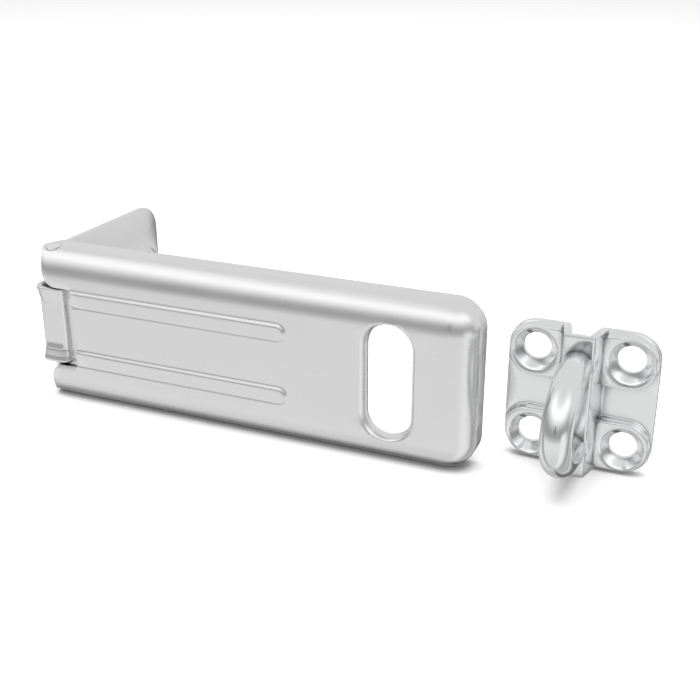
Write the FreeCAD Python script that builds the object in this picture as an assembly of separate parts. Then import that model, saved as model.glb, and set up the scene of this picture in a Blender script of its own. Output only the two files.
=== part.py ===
import FreeCAD, Part
import math
import os

# Zinc plated steel hasp, in millimetres. A drawn strap with a slot swings on a hinge leaf, and a
# separate staple plate carries the rod loop that comes through the slot.
# +X runs along the strap from the hinge to the free end, +Z is up along the hinge pin, and -Y is
# the side that is seen in use. The origin is the middle of the leaf's back, which lies on the post.

# Strap: a sheet drawn into a shallow tray that is open at the back
STRAP_WIDTH = 38.0
STRAP_REACH = 106.5          # hinge axis to the outside of the end wall
STRAP_DEPTH = 9.0
STRAP_SHEET = 1.4
STRAP_BEND_RADIUS = 5.2      # outside of the bend between the face and the walls
STRAP_CORNER_RADIUS = 6.2    # outside of the two corners at the free end

# Ears of the strap, which hold the pin, and the notch between them
NOTCH_CLEARANCE = 0.4        # between the notch and each end of the knuckle
NOTCH_DEPTH = 7.2            # hinge axis to the bottom of the notch
NOTCH_CORNER_RADIUS = 1.2
EAR_WALL = 1.0               # metal left round the pin
EAR_FRONT_SETBACK = 0.1      # hinge axis to where the face starts
EAR_BACK_SETBACK = 0.5       # hinge axis to where the wall's back edge starts
EAR_OVERHANG = 0.8           # hinge axis to the ear's end, on its far side
EAR_CORNER_RADIUS = 3.5      # corner of the ear at the notch

# Slot for the staple, with its edge turned in
SLOT_CENTRE = 87.4           # hinge axis to the middle of the slot
SLOT_SIDE_CLEARANCE = 1.95   # slot to the loop's rod, on each side
SLOT_END_CLEARANCE = 0.25    # slot to the loop, at each end
SLOT_EDGE_ROUND = 1.2
SLOT_COLLAR_DEPTH = 2.8
SLOT_COLLAR_WALL = 1.15

# Stiffening ribs pressed outwards
RIB_WIDTH = 3.9
RIB_TOP_WIDTH = 2.1
RIB_HEIGHT = 0.7
RIB_OFFSET = 7.6             # middle of the strap to the middle of a rib
RIB_END = 64.0               # hinge axis to the tip of a rib

# Hinge pin
PIN_RADIUS = 1.75
PIN_RUNNING_CLEARANCE = 0.05
PIN_PRESS_CLEARANCE = 0.01

# Hinge leaf and the knuckle that is rolled from its tongue
LEAF_SHEET = 1.4
LEAF_LENGTH = 49.0           # hinge axis to the far edge
LEAF_HEIGHT = 34.2
LEAF_START = 1.6             # hinge axis to where the full height starts
LEAF_CORNER_RADIUS = 6.5
LEAF_NEAR_RADIUS = 4.5
KNUCKLE_RADIUS = 4.5
KNUCKLE_HEIGHT = 19.2
KNUCKLE_WAIST_HEIGHT = 11.6
KNUCKLE_FLARE = 1.6
KNUCKLE_SEAM = 0.7

# Screw holes of the leaf: two by the hinge and one near the far edge
LEAF_NEAR_HOLE = 11.4
LEAF_NEAR_SPACING = 20.0
LEAF_FAR_HOLE = 42.2
LEAF_HOLE_RADIUS = 2.75
LEAF_HOLE_STRAIGHT = 0.7     # plain bore under the countersink
LEAF_SINK_RADIUS = 4.6
LEAF_BOSS_RADIUS = 6.0
LEAF_BOSS_CREST = 5.3
LEAF_BOSS_HEIGHT = 0.6

# Staple plate, which stands apart to the right
PLATE_CENTRE_X = 130.0
PLATE_BACK_Y = -11.0
PLATE_CENTRE_Z = -3.0        # stands level with the strap's lower edge
PLATE_WIDTH = 32.0
PLATE_HEIGHT = 32.0
PLATE_SHEET = 1.4
PLATE_CORNER_RADIUS = 6.0
PAD_RISE = 1.8               # corner pads over the middle flats
PAD_HEIGHT = 12.6
PAD_INNER_RADIUS = 5.4
PAD_DRAFT = 0.7
PAD_EDGE_ROUND = 0.6
PLATE_HOLE_MARGIN = 6.0      # plate's edge to the middle of a screw hole
PLATE_HOLE_RADIUS = 3.0
PLATE_SINK_RADIUS = 4.7
PLATE_HOLE_STRAIGHT = 0.8    # plain bore under the countersink
RIDGE_RISE = 7.4             # plate's back to the ridge's crest
RIDGE_CREST_WIDTH = 6.4
RIDGE_FOOT_WIDTH = 9.4
RIDGE_EDGE_ROUND = 0.7

# Staple loop, a bent rod with its two shouldered feet riveted into the ridge
ROD_RADIUS = 3.3
LOOP_FOOT_MARGIN = 6.5       # plate's edge to the middle of a foot
LOOP_REACH = 16.4            # ridge's crest to the middle of the rod at the bow
SPIGOT_RADIUS = 1.7
SPIGOT_TAIL = 0.9            # how far the rivet end stands behind the crest's sheet
SPIGOT_CLEARANCE = 0.02
FOOT_NECK = 2.2              # straight length of rod over the crest

# Places that follow from the sizes above
AXIS_X = KNUCKLE_RADIUS
AXIS_Y = -LEAF_LENGTH / 2.0
FACE_Y = AXIS_Y - STRAP_DEPTH / 2.0
BACK_Y = FACE_Y + STRAP_DEPTH
END_X = AXIS_X + STRAP_REACH
EAR_RADIUS = PIN_RADIUS + EAR_WALL
CREST_Y = PLATE_BACK_Y - RIDGE_RISE
LOOP_FOOT_SPACING = PLATE_HEIGHT - 2.0 * LOOP_FOOT_MARGIN
SLOT_WIDTH = 2.0 * (ROD_RADIUS + SLOT_SIDE_CLEARANCE)
SLOT_HEIGHT = LOOP_FOOT_SPACING + 2.0 * (ROD_RADIUS + SLOT_END_CLEARANCE)
NOTCH_HEIGHT = KNUCKLE_HEIGHT + 2.0 * NOTCH_CLEARANCE


def vec(x, y, z):
    return FreeCAD.Vector(x, y, z)


def rounded_prism_y(x0, x1, z0, z1, y0, y1, radius):
    """Block from y0 to y1 whose four edges along Y are rounded."""
    block = Part.makeBox(x1 - x0, y1 - y0, z1 - z0, vec(x0, y0, z0))
    edges = [e for e in block.Edges if abs(e.tangentAt(e.FirstParameter).y) > 0.99]
    return block.makeFillet(radius, edges)


def oblong_wire(cx, cz, width, height, y):
    """Oblong with round ends in a plane of constant y, its long side along the larger size."""
    radius = min(width, height) / 2.0
    dx = width / 2.0 - radius
    dz = height / 2.0 - radius
    if dz > dx:
        a0 = vec(cx + radius, y, cz - dz)
        a1 = vec(cx + radius, y, cz + dz)
        m1 = vec(cx, y, cz + dz + radius)
        b0 = vec(cx - radius, y, cz + dz)
        b1 = vec(cx - radius, y, cz - dz)
        m2 = vec(cx, y, cz - dz - radius)
    else:
        a0 = vec(cx - dx, y, cz - radius)
        a1 = vec(cx + dx, y, cz - radius)
        m1 = vec(cx + dx + radius, y, cz)
        b0 = vec(cx + dx, y, cz + radius)
        b1 = vec(cx - dx, y, cz + radius)
        m2 = vec(cx - dx - radius, y, cz)
    edges = [
        Part.makeLine(a0, a1),
        Part.Arc(a1, m1, b0).toShape(),
        Part.makeLine(b0, b1),
        Part.Arc(b1, m2, a0).toShape(),
    ]
    return Part.Wire(edges)


def oblong_prism(cx, cz, width, height, y0, y1):
    face = Part.Face(oblong_wire(cx, cz, width, height, y0))
    return face.extrude(vec(0, y1 - y0, 0))


def tray_block(inset):
    """Full block of the drawn tray, moved inwards by inset. It starts left of the hinge."""
    left = AXIS_X - 4.0 * KNUCKLE_RADIUS
    right = END_X - inset
    half = STRAP_WIDTH / 2.0 - inset
    front = FACE_Y + inset
    back = BACK_Y + (inset if inset else 0.0)
    block = Part.makeBox(right - left, back - front, 2.0 * half, vec(left, front, -half))
    corners = []
    for e in block.Edges:
        middle = e.valueAt((e.FirstParameter + e.LastParameter) / 2.0)
        if abs(middle.x - right) < 1e-6 and abs(middle.y - (front + back) / 2.0) < 1e-6:
            corners.append(e)
    block = block.makeFillet(STRAP_CORNER_RADIUS - inset, corners)
    rim = []
    for e in block.Edges:
        middle = e.valueAt((e.FirstParameter + e.LastParameter) / 2.0)
        if abs(middle.y - front) < 1e-6 and middle.x > left + 1e-3:
            rim.append(e)
    return block.makeFillet(STRAP_BEND_RADIUS - inset, rim)


def ear_profile():
    """Plan outline of what is cut away at the hinge end, so that each ear ends in a round lobe."""
    front = vec(AXIS_X + EAR_FRONT_SETBACK, FACE_Y - 2.0, 0)
    back = vec(AXIS_X + EAR_BACK_SETBACK, BACK_Y + 3.0, 0)
    left = AXIS_X - 6.0 * KNUCKLE_RADIUS
    axis = vec(AXIS_X, AXIS_Y, 0)

    def tangent_point(from_point, side):
        """Point where a line from from_point touches the lobe."""
        run = axis.sub(from_point)
        length = run.Length
        angle = math.asin(EAR_RADIUS / length) * side
        direction = math.atan2(run.y, run.x) + angle
        reach = math.sqrt(length ** 2 - EAR_RADIUS ** 2)
        return from_point.add(vec(math.cos(direction) * reach, math.sin(direction) * reach, 0))

    touch_front = tangent_point(front, 1)
    touch_back = tangent_point(back, -1)
    lobe = Part.Arc(touch_front, vec(AXIS_X - EAR_RADIUS, AXIS_Y, 0), touch_back)
    corner_back = vec(left, BACK_Y + 3.0, 0)
    corner_front = vec(left, FACE_Y - 2.0, 0)
    edges = [
        Part.makeLine(front, touch_front),
        lobe.toShape(),
        Part.makeLine(touch_back, back),
        Part.makeLine(back, corner_back),
        Part.makeLine(corner_back, corner_front),
        Part.makeLine(corner_front, front),
    ]
    return Part.Face(Part.Wire(edges))


def notch_cutter():
    """Opening in the face between the ears for the knuckle, with the ears' corners rounded off."""
    half = NOTCH_HEIGHT / 2.0
    left = AXIS_X - 4.0 * KNUCKLE_RADIUS
    right = AXIS_X + NOTCH_DEPTH
    front = FACE_Y - 2.0
    depth = BACK_Y + 1.0 - front
    cutter = rounded_prism_y(left, right, -half, half, front, front + depth, NOTCH_CORNER_RADIUS)
    round_x = AXIS_X - EAR_OVERHANG + EAR_CORNER_RADIUS
    for side in (-1, 1):
        low = min(side * (half - 0.5), side * (half + EAR_CORNER_RADIUS))
        corner = Part.makeBox(round_x - left, depth, EAR_CORNER_RADIUS + 0.5, vec(left, front, low))
        kept = Part.makeCylinder(
            EAR_CORNER_RADIUS,
            depth,
            vec(round_x, front, side * (half + EAR_CORNER_RADIUS)),
            vec(0, 1, 0),
        )
        cutter = cutter.fuse(corner.cut(kept))
    return cutter


def rib_solid(centre_z, lift):
    """One pressed rib with sloping sides and a round tip, lifted off the face towards -Y."""
    start = AXIS_X
    end = AXIS_X + RIB_END
    slope = (RIB_WIDTH - RIB_TOP_WIDTH) / 2.0
    base_y = FACE_Y - lift + RIB_HEIGHT
    top_y = FACE_Y - lift
    foot = oblong_wire((start + end) / 2.0, centre_z, end - start, RIB_WIDTH, base_y)
    crest_length = end - start - 2.0 * slope
    crest = oblong_wire((start + end) / 2.0, centre_z, crest_length, RIB_TOP_WIDTH, top_y)
    return Part.makeLoft([foot, crest], True, True)


def make_strap():
    strap = tray_block(0.0).cut(tray_block(STRAP_SHEET))
    collar = oblong_prism(
        AXIS_X + SLOT_CENTRE,
        0.0,
        SLOT_WIDTH + 2.0 * SLOT_COLLAR_WALL,
        SLOT_HEIGHT + 2.0 * SLOT_COLLAR_WALL,
        FACE_Y + STRAP_SHEET / 2.0,
        FACE_Y + SLOT_COLLAR_DEPTH,
    )
    strap = strap.fuse(collar)
    for side in (-1, 1):
        strap = strap.fuse(rib_solid(side * RIB_OFFSET, RIB_HEIGHT))
    for side in (-1, 1):
        hollow = rib_solid(side * RIB_OFFSET, RIB_HEIGHT)
        hollow.translate(vec(0, STRAP_SHEET, 0))
        strap = strap.cut(hollow)
    slot = oblong_prism(
        AXIS_X + SLOT_CENTRE, 0.0, SLOT_WIDTH, SLOT_HEIGHT, FACE_Y - 3.0, BACK_Y + 3.0
    )
    strap = strap.cut(slot).removeSplitter()
    mouth = []
    for e in strap.Edges:
        middle = e.valueAt((e.FirstParameter + e.LastParameter) / 2.0)
        near_x = abs(middle.x - AXIS_X - SLOT_CENTRE) < SLOT_WIDTH / 2.0 + 0.01
        near_z = abs(middle.z) < SLOT_HEIGHT / 2.0 + 0.01
        if abs(middle.y - FACE_Y) < 1e-6 and near_x and near_z:
            mouth.append(e)
    strap = strap.makeFillet(SLOT_EDGE_ROUND, mouth)
    cut_away = ear_profile().extrude(vec(0, 0, STRAP_WIDTH + 4.0))
    cut_away.translate(vec(0, 0, -STRAP_WIDTH / 2.0 - 2.0))
    strap = strap.cut(cut_away).cut(notch_cutter())
    pin_hole = Part.makeCylinder(
        PIN_RADIUS + PIN_PRESS_CLEARANCE,
        STRAP_WIDTH + 4.0,
        vec(AXIS_X, AXIS_Y, -STRAP_WIDTH / 2.0 - 2.0),
    )
    return strap.cut(pin_hole).removeSplitter()


def make_pin():
    """Plain pin whose ends are dressed flush with the outside of the ears."""
    rod = Part.makeCylinder(
        PIN_RADIUS, STRAP_WIDTH, vec(AXIS_X, AXIS_Y, -STRAP_WIDTH / 2.0)
    )
    return rod.common(tray_block(0.0))


def knuckle_profile(outside):
    """Half outline of the rolled knuckle: flared at both ends and pinched in the middle."""
    shift = 0.0 if outside else LEAF_SHEET
    end_radius = KNUCKLE_RADIUS - shift
    waist_radius = PIN_RADIUS + PIN_RUNNING_CLEARANCE + LEAF_SHEET - shift
    half = KNUCKLE_HEIGHT / 2.0
    waist = KNUCKLE_WAIST_HEIGHT / 2.0
    extra = 0.0 if outside else 1.0
    top = [
        vec(end_radius, 0, half + extra),
        vec(end_radius, 0, waist + KNUCKLE_FLARE),
        vec(waist_radius, 0, waist),
    ]
    bottom = [vec(p.x, 0, -p.z) for p in reversed(top)]
    points = [vec(0, 0, half + extra)] + top + bottom + [vec(0, 0, -half - extra)]
    points.append(points[0])
    return Part.Face(Part.makePolygon(points))


def make_knuckle():
    outer = knuckle_profile(True).revolve(vec(0, 0, 0), vec(0, 0, 1), 360)
    inner = knuckle_profile(False).revolve(vec(0, 0, 0), vec(0, 0, 1), 360)
    flare_edges = []
    for e in outer.Edges:
        middle = e.valueAt((e.FirstParameter + e.LastParameter) / 2.0)
        if abs(middle.z) < KNUCKLE_HEIGHT / 2.0 - 0.1 and middle.Length > 0.1:
            if abs(e.BoundBox.ZLength) < 1e-6:
                flare_edges.append(e)
    outer = outer.makeFillet(KNUCKLE_FLARE * 0.55, flare_edges)
    roll = outer.cut(inner)
    roll.translate(vec(AXIS_X, AXIS_Y, 0))
    return roll


def hole_boss():
    """Pressed boss round a screw hole, as a ring about +X that replaces a disc of the sheet."""
    sheet = LEAF_SHEET
    crest = sheet + LEAF_BOSS_HEIGHT
    profile = [
        (LEAF_HOLE_RADIUS, 0.0),
        (LEAF_HOLE_RADIUS, LEAF_HOLE_STRAIGHT),
        (LEAF_SINK_RADIUS, crest),
        (LEAF_BOSS_CREST, crest),
        (LEAF_BOSS_RADIUS, sheet),
        (LEAF_BOSS_RADIUS, 0.0),
        (LEAF_BOSS_RADIUS - 0.5, 0.0),
        (LEAF_BOSS_CREST - 0.4, LEAF_BOSS_HEIGHT),
        (LEAF_SINK_RADIUS - 0.4, LEAF_BOSS_HEIGHT),
        (LEAF_HOLE_RADIUS + 1.0, 0.0),
    ]
    points = [vec(height, radius, 0) for radius, height in profile]
    points.append(points[0])
    face = Part.Face(Part.makePolygon(points))
    return face.revolve(vec(0, 0, 0), vec(1, 0, 0), 360)


def leaf_holes():
    """Centres of the leaf's screw holes as (y, z)."""
    near_y = AXIS_Y + LEAF_NEAR_HOLE
    far_y = AXIS_Y + LEAF_FAR_HOLE
    half = LEAF_NEAR_SPACING / 2.0
    return [(near_y, half), (near_y, -half), (far_y, 0.0)]


def make_leaf():
    half = LEAF_HEIGHT / 2.0
    start = AXIS_Y + LEAF_START
    far = AXIS_Y + LEAF_LENGTH
    plate = Part.makeBox(LEAF_SHEET, far - start, LEAF_HEIGHT, vec(0, start, -half))
    for corner_y, radius in ((far, LEAF_CORNER_RADIUS), (start, LEAF_NEAR_RADIUS)):
        corners = []
        for e in plate.Edges:
            middle = e.valueAt((e.FirstParameter + e.LastParameter) / 2.0)
            at_corner = abs(middle.y - corner_y) < 1e-3 and abs(abs(middle.z) - half) < 1e-3
            if at_corner and abs(middle.x - LEAF_SHEET / 2.0) < 1e-3:
                corners.append(e)
        plate = plate.makeFillet(radius, corners)
    tongue_half = KNUCKLE_HEIGHT / 2.0
    tongue = Part.makeBox(
        LEAF_SHEET, LEAF_START + LEAF_NEAR_RADIUS, KNUCKLE_HEIGHT, vec(0, AXIS_Y, -tongue_half)
    )
    leaf = plate.fuse(tongue).fuse(make_knuckle())
    seam = Part.makeBox(
        KNUCKLE_SEAM,
        KNUCKLE_RADIUS,
        KNUCKLE_HEIGHT + 2.0,
        vec(LEAF_SHEET, AXIS_Y + LEAF_START, -tongue_half - 1.0),
    )
    bore = Part.makeCylinder(
        PIN_RADIUS + PIN_RUNNING_CLEARANCE,
        KNUCKLE_HEIGHT + 2.0,
        vec(AXIS_X, AXIS_Y, -tongue_half - 1.0),
    )
    leaf = leaf.cut(seam).cut(bore)
    for y, z in leaf_holes():
        disc = Part.makeCylinder(LEAF_BOSS_RADIUS, 3.0 * LEAF_SHEET, vec(-LEAF_SHEET, y, z), vec(1, 0, 0))
        boss = hole_boss()
        boss.translate(vec(0, y, z))
        leaf = leaf.cut(disc).fuse(boss)
    return leaf.removeSplitter()


def drafted_block(x0, x1, z0, z1, radii, back, front, draft):
    """Block from back to front towards -Y with rounded corners, smaller by draft at its front.

    radii holds the corner radii in the order x0z0, x1z0, x1z1, x0z1.
    """

    def outline(inset, y):
        a, b = x0 + inset, x1 - inset
        c, d = z0 + inset, z1 - inset
        r = [max(v - inset, 0.15) for v in radii]
        s = math.sqrt(0.5)
        edges = [
            Part.makeLine(vec(a + r[0], y, c), vec(b - r[1], y, c)),
            Part.Arc(
                vec(b - r[1], y, c),
                vec(b - r[1] + s * r[1], y, c + r[1] - s * r[1]),
                vec(b, y, c + r[1]),
            ).toShape(),
            Part.makeLine(vec(b, y, c + r[1]), vec(b, y, d - r[2])),
            Part.Arc(
                vec(b, y, d - r[2]),
                vec(b - r[2] + s * r[2], y, d - r[2] + s * r[2]),
                vec(b - r[2], y, d),
            ).toShape(),
            Part.makeLine(vec(b - r[2], y, d), vec(a + r[3], y, d)),
            Part.Arc(
                vec(a + r[3], y, d),
                vec(a + r[3] - s * r[3], y, d - r[3] + s * r[3]),
                vec(a, y, d - r[3]),
            ).toShape(),
            Part.makeLine(vec(a, y, d - r[3]), vec(a, y, c + r[0])),
            Part.Arc(
                vec(a, y, c + r[0]),
                vec(a + r[0] - s * r[0], y, c + r[0] - s * r[0]),
                vec(a + r[0], y, c),
            ).toShape(),
        ]
        return Part.Wire(edges)

    return Part.makeLoft([outline(0.0, back), outline(draft, front)], True, True)


def pad_shape(side_x, side_z, inset, drop):
    """One corner pad. With inset and drop it is the hollow behind the pad."""
    half_w = PLATE_WIDTH / 2.0 - inset
    half_h = PLATE_HEIGHT / 2.0 - inset
    inner_x = RIDGE_FOOT_WIDTH / 2.0 + 0.4 + inset
    inner_z = PLATE_HEIGHT / 2.0 - PAD_HEIGHT + inset
    xs = sorted((side_x * inner_x, side_x * half_w))
    zs = sorted((side_z * inner_z, side_z * half_h))
    outer = PLATE_CORNER_RADIUS - inset
    middle = PAD_INNER_RADIUS - inset
    inner = 1.0
    radii = []
    for corner_x, corner_z in ((0, 0), (1, 0), (1, 1), (0, 1)):
        on_edge = xs[corner_x] == side_x * half_w
        at_end = zs[corner_z] == side_z * half_h
        radii.append(outer if on_edge and at_end else middle if on_edge else inner)
    back = PLATE_BACK_Y + (0.5 if inset else 0.0)
    front = PLATE_BACK_Y - PLATE_SHEET - PAD_RISE + drop
    pad = drafted_block(
        PLATE_CENTRE_X + xs[0], PLATE_CENTRE_X + xs[1],
        PLATE_CENTRE_Z + zs[0], PLATE_CENTRE_Z + zs[1],
        radii, back, front, PAD_DRAFT,
    )
    if not inset:
        rim = [e for e in pad.Edges if abs(e.BoundBox.YMin - front) < 1e-6 and e.BoundBox.YLength < 1e-6]
        pad = pad.makeFillet(PAD_EDGE_ROUND, rim)
    return pad


def ridge_shape(inset):
    """Ridge down the middle of the plate, with leaning sides. With inset it is its hollow."""
    crest = RIDGE_CREST_WIDTH / 2.0 - inset
    foot = RIDGE_FOOT_WIDTH / 2.0 - inset
    over = 1.0 if inset else 0.0
    half = PLATE_HEIGHT / 2.0 + over
    base_y = PLATE_BACK_Y + over
    top_y = CREST_Y + inset
    points = [
        vec(PLATE_CENTRE_X - foot, base_y, PLATE_CENTRE_Z - half),
        vec(PLATE_CENTRE_X + foot, base_y, PLATE_CENTRE_Z - half),
        vec(PLATE_CENTRE_X + crest, top_y, PLATE_CENTRE_Z - half),
        vec(PLATE_CENTRE_X - crest, top_y, PLATE_CENTRE_Z - half),
    ]
    points.append(points[0])
    ridge = Part.Face(Part.makePolygon(points)).extrude(vec(0, 0, 2.0 * half))
    if inset:
        return ridge
    crest_edges = [
        e for e in ridge.Edges
        if e.BoundBox.ZLength > PLATE_HEIGHT - 1e-6 and abs(e.BoundBox.YMin - top_y) < 1e-6
    ]
    return ridge.makeFillet(RIDGE_EDGE_ROUND, crest_edges)


def plate_sink():
    """Dished screw seat of the staple plate, as a ring about +Y with its mouth towards -Y."""
    top = PLATE_SHEET + PAD_RISE
    wall = 1.15
    profile = [
        (PLATE_HOLE_RADIUS, 0.0),
        (PLATE_HOLE_RADIUS, PLATE_HOLE_STRAIGHT),
        (PLATE_SINK_RADIUS, top),
        (PLATE_SINK_RADIUS + wall, top - PLATE_SHEET),
        (PLATE_SINK_RADIUS + wall, top - PLATE_SHEET - 0.1),
        (PLATE_HOLE_RADIUS + wall, 0.0),
    ]
    points = [vec(radius, -height, 0) for radius, height in profile]
    points.append(points[0])
    ring = Part.Face(Part.makePolygon(points))
    return ring.revolve(vec(0, 0, 0), vec(0, 1, 0), 360)


def sink_cutter():
    """Everything inside the dished screw seat."""
    top = PLATE_SHEET + PAD_RISE
    profile = [
        (0.0, -1.0),
        (PLATE_HOLE_RADIUS, -1.0),
        (PLATE_HOLE_RADIUS, PLATE_HOLE_STRAIGHT),
        (PLATE_SINK_RADIUS, top),
        (PLATE_SINK_RADIUS, top + 2.0),
        (0.0, top + 2.0),
    ]
    points = [vec(radius, -height, 0) for radius, height in profile]
    points.append(points[0])
    return Part.Face(Part.makePolygon(points)).revolve(vec(0, 0, 0), vec(0, 1, 0), 360)


def plate_holes():
    """Centres of the staple plate's screw holes as (x, z)."""
    dx = PLATE_WIDTH / 2.0 - PLATE_HOLE_MARGIN
    dz = PLATE_HEIGHT / 2.0 - PLATE_HOLE_MARGIN
    return [
        (PLATE_CENTRE_X + i * dx, PLATE_CENTRE_Z + k * dz) for i in (-1, 1) for k in (-1, 1)
    ]


def make_plate():
    half_w = PLATE_WIDTH / 2.0
    half_h = PLATE_HEIGHT / 2.0
    plate = rounded_prism_y(
        PLATE_CENTRE_X - half_w, PLATE_CENTRE_X + half_w,
        PLATE_CENTRE_Z - half_h, PLATE_CENTRE_Z + half_h,
        PLATE_BACK_Y - PLATE_SHEET, PLATE_BACK_Y, PLATE_CORNER_RADIUS,
    )
    sides = [(i, k) for i in (-1, 1) for k in (-1, 1)]
    for side_x, side_z in sides:
        plate = plate.fuse(pad_shape(side_x, side_z, 0.0, 0.0))
    plate = plate.fuse(ridge_shape(0.0))
    for side_x, side_z in sides:
        plate = plate.cut(pad_shape(side_x, side_z, PLATE_SHEET, PLATE_SHEET))
    plate = plate.cut(ridge_shape(PLATE_SHEET))
    for x, z in plate_holes():
        seat = plate_sink()
        seat.translate(vec(x, PLATE_BACK_Y, z))
        hollow = sink_cutter()
        hollow.translate(vec(x, PLATE_BACK_Y, z))
        plate = plate.fuse(seat).cut(hollow)
    for side in (-1, 1):
        foot_hole = Part.makeCylinder(
            SPIGOT_RADIUS + SPIGOT_CLEARANCE,
            3.0 * PLATE_SHEET,
            vec(PLATE_CENTRE_X, CREST_Y - PLATE_SHEET, PLATE_CENTRE_Z + side * LOOP_FOOT_SPACING / 2.0),
            vec(0, 1, 0),
        )
        plate = plate.cut(foot_hole)
    return plate.removeSplitter()


def make_loop():
    """Rod bent to a bow, standing out from the crest towards -Y, with two rivet spigots."""
    half = LOOP_FOOT_SPACING / 2.0
    x = PLATE_CENTRE_X
    z = PLATE_CENTRE_Z

    def on_path(reach, height):
        return vec(x, CREST_Y - reach, z + height)

    neck_top = on_path(FOOT_NECK, half)
    neck_bottom = on_path(FOOT_NECK, -half)
    bow_reach = LOOP_REACH - FOOT_NECK
    bow_points = []
    for degrees in (0, 30, 60, 90, 120, 150, 180):
        angle = math.radians(degrees)
        bow_points.append(on_path(FOOT_NECK + bow_reach * math.sin(angle), half * math.cos(angle)))
    bow = Part.BSplineCurve()
    bow.interpolate(bow_points, InitialTangent=vec(0, -1, 0), FinalTangent=vec(0, 1, 0))
    path = Part.Wire([
        Part.makeLine(on_path(0.0, half), neck_top),
        bow.toShape(),
        Part.makeLine(neck_bottom, on_path(0.0, -half)),
    ])
    section = Part.Wire([Part.makeCircle(ROD_RADIUS, on_path(0.0, half), vec(0, -1, 0))])
    loop = path.makePipeShell([section], True, False)
    for side in (-1, 1):
        spigot = Part.makeCylinder(
            SPIGOT_RADIUS,
            PLATE_SHEET + SPIGOT_TAIL + 0.5,
            vec(x, CREST_Y - 0.5, z + side * half),
            vec(0, 1, 0),
        )
        loop = loop.fuse(spigot)
    return loop.removeSplitter()


def main():
    os.makedirs("parts", exist_ok=True)
    pieces = {
        "strap": make_strap(),
        "hinge_pin": make_pin(),
        "hinge_leaf": make_leaf(),
        "staple_plate": make_plate(),
        "staple_loop": make_loop(),
    }
    for name, shape in pieces.items():
        if len(shape.Solids) == 1:
            shape = shape.Solids[0]
        shape.exportStep("parts/" + name + ".step")
        box = shape.BoundBox
        print(name, shape.isValid(), len(shape.Solids), round(shape.Volume, 1),
              [round(v, 2) for v in (box.XMin, box.XMax, box.YMin, box.YMax, box.ZMin, box.ZMax)])


main()
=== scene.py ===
import math

import bmesh
import bpy
import numpy as np
from bpy.props import FloatProperty, FloatVectorProperty, IntProperty, PointerProperty
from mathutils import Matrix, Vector
from mathutils.geometry import delaunay_2d_cdt


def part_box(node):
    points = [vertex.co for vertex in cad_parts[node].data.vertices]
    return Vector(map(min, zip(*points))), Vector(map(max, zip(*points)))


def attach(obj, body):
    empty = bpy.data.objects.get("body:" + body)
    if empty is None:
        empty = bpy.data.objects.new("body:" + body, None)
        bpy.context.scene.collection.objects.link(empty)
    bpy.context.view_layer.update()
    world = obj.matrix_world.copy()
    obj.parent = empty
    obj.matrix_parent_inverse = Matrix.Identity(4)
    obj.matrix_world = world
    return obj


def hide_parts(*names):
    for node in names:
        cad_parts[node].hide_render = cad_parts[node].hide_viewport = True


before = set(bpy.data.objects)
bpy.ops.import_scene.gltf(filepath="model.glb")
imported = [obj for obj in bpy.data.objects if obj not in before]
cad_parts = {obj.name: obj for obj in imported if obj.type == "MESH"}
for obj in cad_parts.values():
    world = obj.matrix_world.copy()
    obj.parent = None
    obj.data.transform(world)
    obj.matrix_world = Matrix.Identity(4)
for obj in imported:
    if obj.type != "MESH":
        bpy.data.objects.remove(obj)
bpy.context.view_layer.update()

bl_info = {
    "name": "Zinc Hasp",
    "version": (1, 0, 0),
    "blender": (4, 5, 0),
    "location": "3D View > Sidebar > Hasp",
    "description": "Dresses the packed hasp: drawn strap, hinge leaf, pin, staple plate and staple loop",
    "category": "Add Mesh",
}

MM = 0.001
# Vertices nearer than this are merged
WELD = 2e-6
# Smallest corner of an outline
TINY_RADIUS = 1e-5
# Precision of the triangulation, in millimetres
CUT_PRECISION = 1e-5
# Gap shown between the pin and the metal round it
PIN_GAP = 0.00008

STRAP_LOW, STRAP_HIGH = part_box("strap")
PIN_LOW, PIN_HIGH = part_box("hinge_pin")
_, LEAF_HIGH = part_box("hinge_leaf")
PLATE_LOW, PLATE_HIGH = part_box("staple_plate")
LOOP_LOW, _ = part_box("staple_loop")

AXIS_X = (PIN_LOW.x + PIN_HIGH.x) / 2.0
AXIS_Y = (PIN_LOW.y + PIN_HIGH.y) / 2.0
PIN_RADIUS = (PIN_HIGH.x - PIN_LOW.x) / 2.0
PLATE_X = (PLATE_LOW.x + PLATE_HIGH.x) / 2.0
PLATE_Z = (PLATE_LOW.z + PLATE_HIGH.z) / 2.0


# Sizes and colours that a user would change


def length(label, text, default):
    return FloatProperty(name=label, description=text, default=default, unit="LENGTH", precision=5)


def colour(label, text, default):
    return FloatVectorProperty(
        name=label, description=text, default=default, subtype="COLOR", size=3, min=0.0, max=1.0
    )


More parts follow.
